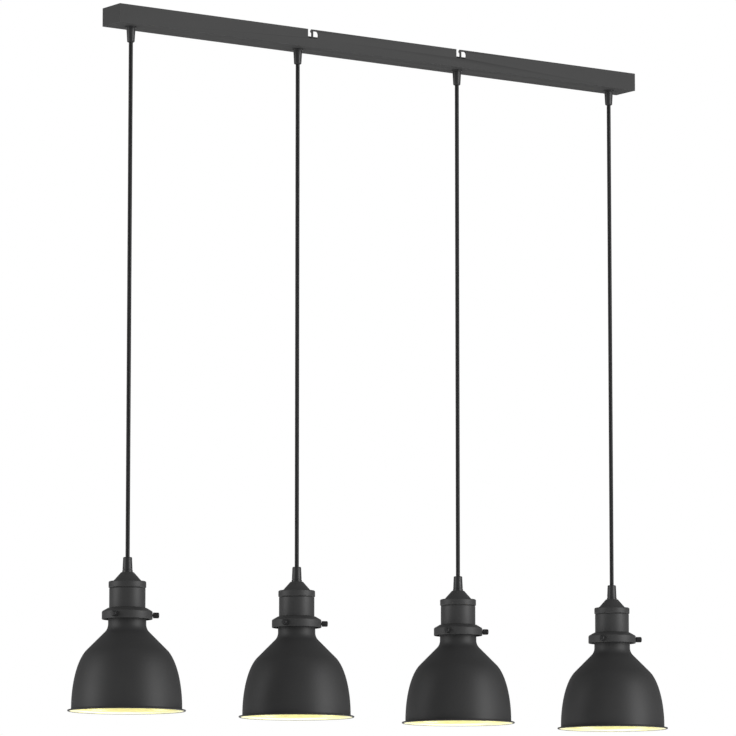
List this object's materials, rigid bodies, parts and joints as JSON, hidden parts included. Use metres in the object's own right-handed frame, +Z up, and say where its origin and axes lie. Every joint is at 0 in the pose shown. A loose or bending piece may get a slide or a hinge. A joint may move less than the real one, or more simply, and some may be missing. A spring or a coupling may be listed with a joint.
{
  "type": "pool table lamp",
  "caption": "Linear ceiling pendant for a pool table: a black sheet metal canopy bar hangs bell shades with gold interiors on straight cords, each clamped by thumb screws.",
  "frame": {"origin": "centre of the canopy's top rim, midway between the two ceiling screw slots, in the plane that rests on the ceiling", "axes": "+Z up, out of the ceiling face; +X along the canopy, from lamp 1 to lamp 4; +Y to the back wall"},
  "size_m": [0.93, 0.15, 0.904],
  "materials": {
    "canopy_black": "fine matte powder coat",
    "shade_black": "satin powder coat outside",
    "shade_gold": "glossy gold lacquer inside the shade",
    "socket_black": "satin powder coat",
    "screw_black": "black oxide with a satin coat",
    "grip_black": "moulded nylon, fine grain",
    "cord_black": "smooth round PVC jacket",
    "zinc_steel": "zinc plated",
    "terminal_white": "moulded nylon",
    "lead_brown": "PVC insulation",
    "holder_ceramic": "unglazed steatite",
    "contact_brass": "bright brass"
  },
  "bodies": {
    "canopy_body": {"canopy": "canopy_black", "ceiling_strap_left": "zinc_steel", "ceiling_strap_right": "zinc_steel", "canopy_cord_grips": "grip_black", "grip_lock_nuts": "zinc_steel", "terminal_block": "terminal_white", "terminal_screws": "contact_brass", "earth_stud": "zinc_steel", "inner_leads": "lead_brown"},
    "cord_body_1": {"cord_1": "cord_black"},
    "lamp_body_1": {"strain_relief_1": "grip_black", "socket_cap_1": "socket_black", "socket_cover_1": "socket_black", "lampholder_1": "holder_ceramic", "screw_shell_1": "contact_brass", "centre_contact_1": "contact_brass", "gallery_1": "socket_black"},
    "shade_body_1": {"shade_1": "shade_black"},
    "screw_body_1_1": {"thumb_screw_1_1": "screw_black"},
    "screw_body_1_2": {"thumb_screw_1_2": "screw_black"},
    "screw_body_1_3": {"thumb_screw_1_3": "screw_black"},
    "cord_body_2": {"cord_2": "cord_black"},
    "lamp_body_2": {"strain_relief_2": "grip_black", "socket_cap_2": "socket_black", "socket_cover_2": "socket_black", "lampholder_2": "holder_ceramic", "screw_shell_2": "contact_brass", "centre_contact_2": "contact_brass", "gallery_2": "socket_black"},
    "shade_body_2": {"shade_2": "shade_black"},
    "screw_body_2_1": {"thumb_screw_2_1": "screw_black"},
    "screw_body_2_2": {"thumb_screw_2_2": "screw_black"},
    "screw_body_2_3": {"thumb_screw_2_3": "screw_black"},
    "cord_body_3": {"cord_3": "cord_black"},
    "lamp_body_3": {"strain_relief_3": "grip_black", "socket_cap_3": "socket_black", "socket_cover_3": "socket_black", "lampholder_3": "holder_ceramic", "screw_shell_3": "contact_brass", "centre_contact_3": "contact_brass", "gallery_3": "socket_black"},
    "shade_body_3": {"shade_3": "shade_black"},
    "screw_body_3_1": {"thumb_screw_3_1": "screw_black"},
    "screw_body_3_2": {"thumb_screw_3_2": "screw_black"},
    "screw_body_3_3": {"thumb_screw_3_3": "screw_black"},
    "cord_body_4": {"cord_4": "cord_black"},
    "lamp_body_4": {"strain_relief_4": "grip_black", "socket_cap_4": "socket_black", "socket_cover_4": "socket_black", "lampholder_4": "holder_ceramic", "screw_shell_4": "contact_brass", "centre_contact_4": "contact_brass", "gallery_4": "socket_black"},
    "shade_body_4": {"shade_4": "shade_black"},
    "screw_body_4_1": {"thumb_screw_4_1": "screw_black"},
    "screw_body_4_2": {"thumb_screw_4_2": "screw_black"},
    "screw_body_4_3": {"thumb_screw_4_3": "screw_black"}
  },
  "joints": [
    {"name": "cord_swing_1", "type": "hinge", "parent": "canopy_body", "child": "cord_body_1", "pos_m": [-0.39, 0, -0.0444], "axis": [1, 0, 0], "range_deg": [-25, 25]},
    {"name": "lamp_tilt_1", "type": "hinge", "parent": "cord_body_1", "child": "lamp_body_1", "pos_m": [-0.39, 0, -0.7085], "axis": [0, 1, 0], "range_deg": [-8, 8]},
    {"name": "shade_slide_1", "type": "slide", "parent": "lamp_body_1", "child": "shade_body_1", "axis": [0, 0, -1], "range_m": [0, 0.045]},
    {"name": "screw_out_1_1", "type": "slide", "parent": "lamp_body_1", "child": "screw_body_1_1", "axis": [0, 1, 0], "range_m": [0, 0.005]},
    {"name": "screw_out_1_2", "type": "slide", "parent": "lamp_body_1", "child": "screw_body_1_2", "axis": [-0.866, -0.5, 0], "range_m": [0, 0.005]},
    {"name": "screw_out_1_3", "type": "slide", "parent": "lamp_body_1", "child": "screw_body_1_3", "axis": [0.866, -0.5, 0], "range_m": [0, 0.005]},
    {"name": "cord_swing_2", "type": "hinge", "parent": "canopy_body", "child": "cord_body_2", "pos_m": [-0.13, 0, -0.0444], "axis": [1, 0, 0], "range_deg": [-25, 25]},
    {"name": "lamp_tilt_2", "type": "hinge", "parent": "cord_body_2", "child": "lamp_body_2", "pos_m": [-0.13, 0, -0.7085], "axis": [0, 1, 0], "range_deg": [-8, 8]},
    {"name": "shade_slide_2", "type": "slide", "parent": "lamp_body_2", "child": "shade_body_2", "axis": [0, 0, -1], "range_m": [0, 0.045]},
    {"name": "screw_out_2_1", "type": "slide", "parent": "lamp_body_2", "child": "screw_body_2_1", "axis": [0, 1, 0], "range_m": [0, 0.005]},
    {"name": "screw_out_2_2", "type": "slide", "parent": "lamp_body_2", "child": "screw_body_2_2", "axis": [-0.866, -0.5, 0], "range_m": [0, 0.005]},
    {"name": "screw_out_2_3", "type": "slide", "parent": "lamp_body_2", "child": "screw_body_2_3", "axis": [0.866, -0.5, 0], "range_m": [0, 0.005]},
    {"name": "cord_swing_3", "type": "hinge", "parent": "canopy_body", "child": "cord_body_3", "pos_m": [0.13, 0, -0.0444], "axis": [1, 0, 0], "range_deg": [-25, 25]},
    {"name": "lamp_tilt_3", "type": "hinge", "parent": "cord_body_3", "child": "lamp_body_3", "pos_m": [0.13, 0, -0.7085], "axis": [0, 1, 0], "range_deg": [-8, 8]},
    {"name": "shade_slide_3", "type": "slide", "parent": "lamp_body_3", "child": "shade_body_3", "axis": [0, 0, -1], "range_m": [0, 0.045]},
    {"name": "screw_out_3_1", "type": "slide", "parent": "lamp_body_3", "child": "screw_body_3_1", "axis": [0, 1, 0], "range_m": [0, 0.005]},
    {"name": "screw_out_3_2", "type": "slide", "parent": "lamp_body_3", "child": "screw_body_3_2", "axis": [-0.866, -0.5, 0], "range_m": [0, 0.005]},
    {"name": "screw_out_3_3", "type": "slide", "parent": "lamp_body_3", "child": "screw_body_3_3", "axis": [0.866, -0.5, 0], "range_m": [0, 0.005]},
    {"name": "cord_swing_4", "type": "hinge", "parent": "canopy_body", "child": "cord_body_4", "pos_m": [0.39, 0, -0.0444], "axis": [1, 0, 0], "range_deg": [-25, 25]},
    {"name": "lamp_tilt_4", "type": "hinge", "parent": "cord_body_4", "child": "lamp_body_4", "pos_m": [0.39, 0, -0.7085], "axis": [0, 1, 0], "range_deg": [-8, 8]},
    {"name": "shade_slide_4", "type": "slide", "parent": "lamp_body_4", "child": "shade_body_4", "axis": [0, 0, -1], "range_m": [0, 0.045]},
    {"name": "screw_out_4_1", "type": "slide", "parent": "lamp_body_4", "child": "screw_body_4_1", "axis": [0, 1, 0], "range_m": [0, 0.005]},
    {"name": "screw_out_4_2", "type": "slide", "parent": "lamp_body_4", "child": "screw_body_4_2", "axis": [-0.866, -0.5, 0], "range_m": [0, 0.005]},
    {"name": "screw_out_4_3", "type": "slide", "parent": "lamp_body_4", "child": "screw_body_4_3", "axis": [0.866, -0.5, 0], "range_m": [0, 0.005]}
  ]
}
